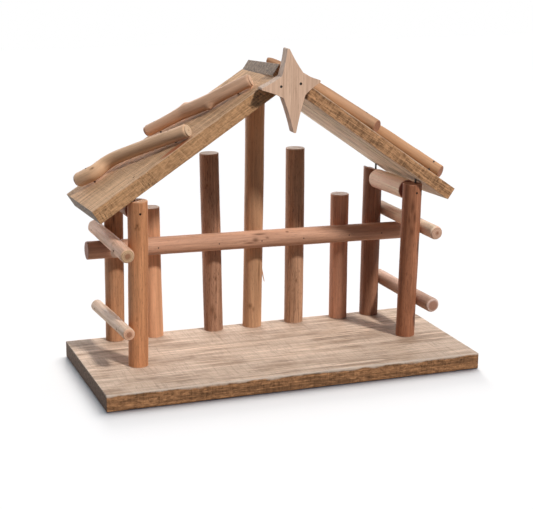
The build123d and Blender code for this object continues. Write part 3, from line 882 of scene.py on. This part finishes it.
# %% Make the boards
BOARD_CELL = 2.5 * MM
BOARD_SEED = 3.4
PLANK_STAIN = (0.455, 0.05, 20 * MM, 5.5 * MM)
boards = {
    "base_board": (box_corners("base_board"), "sawn_board", 1 * MM, 0.25 * MM, 3.2 * MM, 0.25, ()),
    "left_roof_plank": (planks["left_roof_plank"], "sawn_plank", 0.5 * MM, 0.15 * MM, 1.1 * MM, 0,
                        (PLANK_STAIN,)),
    "right_roof_plank": (planks["right_roof_plank"], "sawn_plank", 0.5 * MM, 0.15 * MM, 1.3 * MM, 0.7, ()),
}
for seed, (node, (corners, slot, arris, dip, wear_reach, under_wear, stains)) in enumerate(boards.items()):
    mesh = board_mesh(node, corners, BOARD_CELL, arris, dip, seed + BOARD_SEED, wear_reach, under_wear,
                      stains)
    pieces[node] = settle("wood_" + node, mesh, board_finishes[node], node)
    print(node, "faces", len(mesh.polygons))

# %% [markdown]
# ## The star
# The star is sawn from a thin board, so a copy of its CAD shape only needs softer arrises: the doubled points
# of the imported mesh are joined, and a Bevel breaks its arrises. Its grain runs from tip to tip, and its
# finish reads places from the object, since a CAD mesh carries none of its own.

# %% Make the star
WELD_DISTANCE = 0.01 * MM
STAR_ARRIS, ARRIS_ANGLE, STAR_RELIEF = 0.45 * MM, math.radians(35), 0.3 * MM
STAR_FACE, STAR_SIDE = tint(236, 195, 165), tint(212, 182, 158)


def object_place(tree):
    """The place of a point in its object."""
    return place_node(tree, "TexCoord", {}).outputs["Object"]


def welded(node):
    """The shape of a CAD node with its doubled points joined."""
    shape = bmesh.new()
    shape.from_mesh(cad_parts[node].data)
    bmesh.ops.remove_doubles(shape, verts=shape.verts, dist=WELD_DISTANCE)
    return shape


def shaped_mesh(name, shape):
    """A mesh of a shape, which is then given up."""
    mesh = bpy.data.meshes.new(name)
    shape.to_mesh(mesh)
    shape.free()
    return mesh


star_finish, tree, shader = start_finish("star wood")
fibre = use_group(tree, fibre_group, Place=object_place(tree))
normal = place_node(tree, "NewGeometry", {}).outputs["Normal"]
facing = place_node(tree, "SeparateXYZ", {0: normal}).outputs["Y"]
front = layered(
    tree, mixed(tree, fibre["Figure"], shade(STAR_FACE, 1.22), shade(STAR_FACE, 0.92, 0.02)),
    (fibre["Streak"], 0.45, shade(STAR_FACE, 0.76, 0.05)),
    (fibre["Growth"], 0.3, shade(STAR_FACE, 0.62, 0.08)),
    (fibre["Pore"], 0.25, shade(STAR_FACE, 0.45, 0.08)),
)
sides = mixed(tree, fibre["Streak"], shade(STAR_SIDE, 1.15), shade(STAR_SIDE, 0.8))
colour = mixed(tree, span(tree, facing, -0.95, -0.5), front, sides)
relief = carved(tree, (fibre["Streak"], 0.6))
roughness = span(tree, fibre["Streak"], 0, 1, 0.6, 0.8)
finish_surface(tree, shader, colour, roughness, relief, STAR_RELIEF)
pieces["star"] = settle("wood_star", shaped_mesh("star", welded("star")), star_finish, "star")
arris = pieces["star"].modifiers.new("arris", "BEVEL")
arris.width = STAR_ARRIS
arris.segments = 2
arris.limit_method = "ANGLE"
arris.angle_limit = ARRIS_ANGLE

# %% [markdown]
# ## Nail holes
# Every joint is nailed, and the sunk nails leave small dark holes. A painted dot would look flat from close
# by, so each hole is really cut, and its walls are painted near black as painted shade of the narrow hole.
# The places come from the CAD nails: each group was driven towards a known point, so the sunk end of a nail
# is the one further from it. The holes differ in width, as the photograph shows.

# %% Find the sunk ends of the nails
driven_towards = {
    "base_nails": (0, 0, 1), "roof_nails": (0, 0, -1), "ridge_nails": (0, 0, -1),
    "roof_stick_nails": (0, 0, -1), "back_rail_nails": (0, 1, 0.12), "side_rail_nails": (0, 0.035, 0.1),
    "bearer_nails": (0, 0.035, 0.176), "star_nails": (0, 1, 0.3),
}


def nail_ends(group):
    """The sunk end of each nail of a group, and the direction out of the wood."""
    shape = welded(group)
    left, found = dict.fromkeys(shape.verts), []
    while left:
        nail, edge = [], [left.popitem()[0]]
        while edge:
            vertex = edge.pop()
            nail.append(vertex)
            for line in vertex.link_edges:
                other = line.other_vert(vertex)
                if other in left:
                    del left[other]
                    edge.append(other)
        points = np.array([vertex.co for vertex in nail])
        middle = points.mean(0)
        way = Vector(np.linalg.svd(points - middle)[2][0])
        half = max(abs((points - middle) @ np.array(way)))
        tips = [Vector(middle) + way * half, Vector(middle) - way * half]
        target = Vector(driven_towards[group])
        top = max(tips, key=lambda tip: (tip - target).length)
        found.append((top, (top - Vector(middle)).normalized()))
    shape.free()
    return found


print("star nails:", nail_ends("star_nails"))

# %% Cut the nail holes
HOLE_SIDES = 14
HOLE_REACH = 4 * MM
HOLE_FLARE, HOLE_UNEVEN = 1.15, 0.2
# The colour of the holes is painted shade: near black speckled with brown, standing for the shade inside each
# narrow hole.
HOLE_SHADE_DARK, HOLE_SHADE_BROWN, HOLE_RELIEF = tint(40, 28, 20), tint(72, 52, 38), 0.1 * MM
SHARP_ANGLE = math.radians(20)
hole_finish, tree, shader = start_finish("nail hole")
hole_shade_speckle = cloud(tree, object_place(tree), (2500, 2500, 2500))
colour = mixed(tree, hole_shade_speckle, HOLE_SHADE_DARK, HOLE_SHADE_BROWN)
finish_surface(tree, shader, colour, span(tree, hole_shade_speckle, 0, 1, 0.8, 0.95), hole_shade_speckle, HOLE_RELIEF)


def hole_cutter(group, hole_radius):
    """One object with a small uneven plug over each nail of a group."""
    shape = bmesh.new()
    for top, way in nail_ends(group):
        plug = bmesh.ops.create_cone(shape, cap_ends=True, segments=HOLE_SIDES, radius1=hole_radius,
                                     radius2=HOLE_FLARE * hole_radius, depth=HOLE_REACH)
        for vertex in plug["verts"]:
            uneven = 1 + HOLE_UNEVEN * noise.noise(vertex.co / hole_radius + top * 1000)
            vertex.co.x *= uneven
            vertex.co.y *= uneven
        turn = way.to_track_quat("Z", "Y").to_matrix().to_4x4()
        turn.translation = top + way * (HOLE_REACH / 2)
        bmesh.ops.transform(shape, matrix=turn, verts=plug["verts"])
    mesh = shaped_mesh(group + "_plugs", shape)
    mesh.materials.append(hole_finish)
    return added(group + "_plugs", mesh)


def pierce(piece, cutter):
    """Cut the plugs out of a piece and keep the result as its mesh."""
    cut = piece.modifiers.new("holes", "BOOLEAN")
    cut.operation, cut.solver, cut.material_mode, cut.object = "DIFFERENCE", "EXACT", "TRANSFER", cutter
    whole = piece.data
    changed = piece.evaluated_get(bpy.context.evaluated_depsgraph_get())
    piece.data = bpy.data.meshes.new_from_object(changed)
    piece.modifiers.clear()
    bpy.data.meshes.remove(whole)
    piece.data.set_sharp_from_angle(angle=SHARP_ANGLE)


side_rails = [node for node in straight_sticks if node.endswith("_rail") and node != "back_rail"]
posts = [node for node in straight_sticks if node.endswith("_post")]
pierced = {
    "base_nails": (["base_board"], 1.05), "roof_nails": (list(planks), 1.05),
    "ridge_nails": (["right_roof_plank"], 1.05), "roof_stick_nails": (list(roof_sticks), 1),
    "back_rail_nails": (["back_rail"], 0.7), "side_rail_nails": (side_rails, 0.9),
    "bearer_nails": (posts, 1.15), "star_nails": (["star"], 1.35),
}
for group, (nodes, hole_radius) in pierced.items():
    cutter = hole_cutter(group, hole_radius * MM)
    for node in nodes:
        pierce(pieces[node], cutter)
    bpy.data.objects.remove(cutter)
    print(group, "cut into", nodes)
star_faces = pieces["star"].data.polygons
star_faces.foreach_set("use_smooth", [False] * len(star_faces))

# %% [markdown]
# ## The nails
# The nails are plain dark wire. They show in the gaps over the posts and at the bottom of each hole, so they
# keep their CAD shape and get a grey metal with a little rust.

# %% Finish the nails
NAIL_METAL, NAIL_RELIEF = 0.6, 0.05 * MM
WIRE_GREY, RUST_BROWN = tint(74, 70, 68), tint(66, 48, 36)
nail_finish, tree, shader = start_finish("nail wire")
rust = cloud(tree, object_place(tree), (900, 900, 900), 4)
colour = mixed(tree, span(tree, rust, 0.5, 0.7), WIRE_GREY, RUST_BROWN)
finish_surface(tree, shader, colour, span(tree, rust, 0.3, 0.7, 0.35, 0.6), rust, NAIL_RELIEF)
shader.inputs["Metallic"].default_value = NAIL_METAL
nail_groups = [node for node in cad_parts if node.endswith("_nails")]
for node in nail_groups:
    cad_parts[node].data.materials.clear()
    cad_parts[node].data.materials.append(nail_finish)
print("nail groups:", nail_groups)

# %% [markdown]
# ## Camera
# The photograph was taken from a little to the left and above. Its camera was worked out from the corners of
# the board and the feet of the posts, as a direction, a distance, a slight roll and a focal length in pixels.

# %% Set the camera
IMAGE_WIDTH = 533
FOCAL_PIXELS = 1430.6
AZIMUTH, ELEVATION, ROLL = math.radians(-20.127), math.radians(14.462), math.radians(0.377)
CAMERA_DISTANCE = 1487.5 * MM
CAMERA_TARGET = Vector((-4.954, 0, 118.536)) * MM
camera = added("camera", bpy.data.cameras.new("camera"))
backwards = Vector((math.sin(AZIMUTH) * math.cos(ELEVATION), -math.cos(AZIMUTH) * math.cos(ELEVATION),
                    math.sin(ELEVATION)))
camera.location = CAMERA_TARGET + backwards * CAMERA_DISTANCE
camera.rotation_mode = "QUATERNION"
camera.rotation_quaternion = (-backwards).to_track_quat("-Z", "Y") @ Quaternion((0, 0, 1), ROLL)
camera.data.lens = FOCAL_PIXELS / IMAGE_WIDTH * camera.data.sensor_width
bpy.context.scene.camera = camera
print("camera at", camera.location, "lens", camera.data.lens)

# %% [markdown]
# ## Lights
# The key light comes from the front right and above, and is small enough for the star and the roof to cast
# clear shadows. A bright backdrop lights the object from behind, which brightens the undersides. Two more
# lights fall on the floor alone, and only the base board shades them: a very wide one from above gives the
# close contact shadow of a studio table, and a low one from behind gives the fainter band in front of it.

# %% Place the lamps
KEY_WAY, KEY_STRENGTH, KEY_ANGLE = Vector((-0.5, 1, -1.18)), 3.0, math.radians(6)
TABLE_WAY, TABLE_STRENGTH, TABLE_ANGLE = Vector((-0.42, -0.58, -1)), 3.15, math.radians(60)
LOW_WAY, LOW_STRENGTH, LOW_ANGLE = Vector((-0.7, -3, -1)), 1.75, math.radians(18)
BACKDROP_PLACE, BACKDROP_WIDTH, BACKDROP_HEIGHT, BACKDROP_POWER = Vector((0, 1.2, 0.55)), 2.0, 1.15, 25


def lamp(name, kind, way, strength):
    """Add a lamp that shines along a direction."""
    light = added(name, bpy.data.lights.new(name, kind))
    light.data.energy = strength
    light.rotation_mode = "QUATERNION"
    light.rotation_quaternion = way.to_track_quat("-Z", "Y")
    return light


key = lamp("key", "SUN", KEY_WAY, KEY_STRENGTH)
key.data.angle = KEY_ANGLE
table = lamp("table", "SUN", TABLE_WAY, TABLE_STRENGTH)
table.data.angle = TABLE_ANGLE
low_table = lamp("low table", "SUN", LOW_WAY, LOW_STRENGTH)
low_table.data.angle = LOW_ANGLE
backdrop = lamp("backdrop", "AREA", Vector((0, -1, 0)), BACKDROP_POWER)
backdrop.data.shape, backdrop.data.size, backdrop.data.size_y = "RECTANGLE", BACKDROP_WIDTH, BACKDROP_HEIGHT
backdrop.location = BACKDROP_PLACE
backdrop.visible_camera = False
print("lamps:", key.name, table.name, low_table.name, backdrop.name)

# %% [markdown]
# ## Floor and background
# The floor is a plain white sheet. Light linking tells the lamps apart: the key and the backdrop leave the
# floor out, and the table lights take in the floor alone. The world is white where it is seen, and dimmer and
# a little cool where it lights the wood, which keeps the shaded wood from turning red. Towards the wood, the
# floor throws light back mostly from its rear part.

# %% Lay the floor and set the world
FLOOR_SIZE = 6
FLOOR_DROP = 0.2 * MM
FLOOR_ROUGHNESS = 0.9
FLOOR_WHITE = (0.92, 0.9, 0.87, 1)
BOUNCE_SPAN = (-0.25, 0.1)
BOUNCE_FRONT, BOUNCE_BACK = (0.1, 0.1, 0.1, 1), (0.9, 0.9, 0.9, 1)
FILL_STRENGTH = 0.15
FILL_COLOUR, SEEN_WHITE = (0.78, 0.97, 1.32, 1), (1, 1, 1, 1)
half = FLOOR_SIZE / 2
sheet = [(-half, -half, 0), (half, -half, 0), (half, half, 0), (-half, half, 0)]
floor_mesh = bpy.data.meshes.new("floor")
floor_mesh.from_pydata(sheet, [], [(0, 1, 2, 3)])
floor = added("floor", floor_mesh)
floor.location.z = -FLOOR_DROP


def seen_directly(tree):
    """1 for rays that show the background itself: from the camera, in a reflection or through glass."""
    rays = place_node(tree, "LightPath", {}).outputs
    return maths(tree, "ADD", rays["Is Camera Ray"],
                 maths(tree, "ADD", rays["Is Glossy Ray"], rays["Is Transmission Ray"]))


white, tree, shader = start_finish("white floor")
depth = place_node(tree, "SeparateXYZ", {0: object_place(tree)}).outputs["Y"]
bounce = mixed(tree, span(tree, depth, *BOUNCE_SPAN), BOUNCE_FRONT, BOUNCE_BACK)
tree.links.new(mixed(tree, seen_directly(tree), bounce, FLOOR_WHITE), shader.inputs["Base Color"])
shader.inputs["Roughness"].default_value = FLOOR_ROUGHNESS
shader.inputs["Specular IOR Level"].default_value = 0
floor_mesh.materials.append(white)


def light_group(name, member, state):
    """A collection that takes one object in, or leaves it out, for light linking."""
    group = bpy.data.collections.new(name)
    group.objects.link(member)
    group.collection_objects[0].light_linking.link_state = state
    return group


the_wood = light_group("not the floor", floor, "EXCLUDE")
the_floor = light_group("the floor alone", floor, "INCLUDE")
the_base = light_group("the base alone", pieces["base_board"], "INCLUDE")
for light in (key, backdrop):
    light.light_linking.receiver_collection = the_wood
for light in (table, low_table):
    light.light_linking.receiver_collection = the_floor
    light.light_linking.blocker_collection = the_base

world = bpy.data.worlds.new("studio")
bpy.context.scene.world = world
world.use_nodes = True
tree = world.node_tree
seen = seen_directly(tree)
background = tree.nodes["Background"].inputs
tree.links.new(mixed(tree, seen, FILL_COLOUR, SEEN_WHITE), background["Color"])
tree.links.new(span(tree, seen, 0, 1, FILL_STRENGTH, 1), background["Strength"])
bpy.context.scene.view_settings.view_transform = "Standard"
print("floor:", FLOOR_SIZE, "m, fill:", FILL_STRENGTH)
